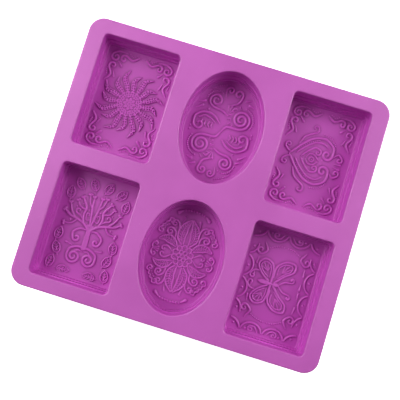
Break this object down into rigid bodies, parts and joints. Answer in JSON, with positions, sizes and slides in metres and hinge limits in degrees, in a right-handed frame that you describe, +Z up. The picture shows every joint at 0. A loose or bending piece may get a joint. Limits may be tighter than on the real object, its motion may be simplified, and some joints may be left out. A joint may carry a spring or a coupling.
{
  "type": "silicone soap mould",
  "caption": "Flexible silicone soap mould: a flat rounded deck with rectangular and oval cells, each with stepped walls and a patterned floor.",
  "frame": {"origin": "under the middle of the deck, on the plane that the cells' undersides stand on", "axes": "+X along the deck's longer side, +Y from the tree, blossom and butterfly row towards the sunflower, paisley and heart row, +Z up out of the cells"},
  "size_m": [0.22, 0.1956, 0.025],
  "materials": {
    "purple_silicone": "satin moulded silicone"
  },
  "bodies": {
    "root": {"deck": "purple_silicone", "edge_bead": "purple_silicone", "sunflower_wall": "purple_silicone", "sunflower_step_frame": "purple_silicone", "sunflower_floor": "purple_silicone", "paisley_wall": "purple_silicone", "paisley_step_frame": "purple_silicone", "paisley_floor": "purple_silicone", "heart_wall": "purple_silicone", "heart_step_frame": "purple_silicone", "heart_floor": "purple_silicone", "tree_wall": "purple_silicone", "tree_step_frame": "purple_silicone", "tree_floor": "purple_silicone", "blossom_wall": "purple_silicone", "blossom_step_frame": "purple_silicone", "blossom_floor": "purple_silicone", "butterfly_wall": "purple_silicone", "butterfly_step_frame": "purple_silicone", "butterfly_floor": "purple_silicone"}
  },
  "joints": []
}
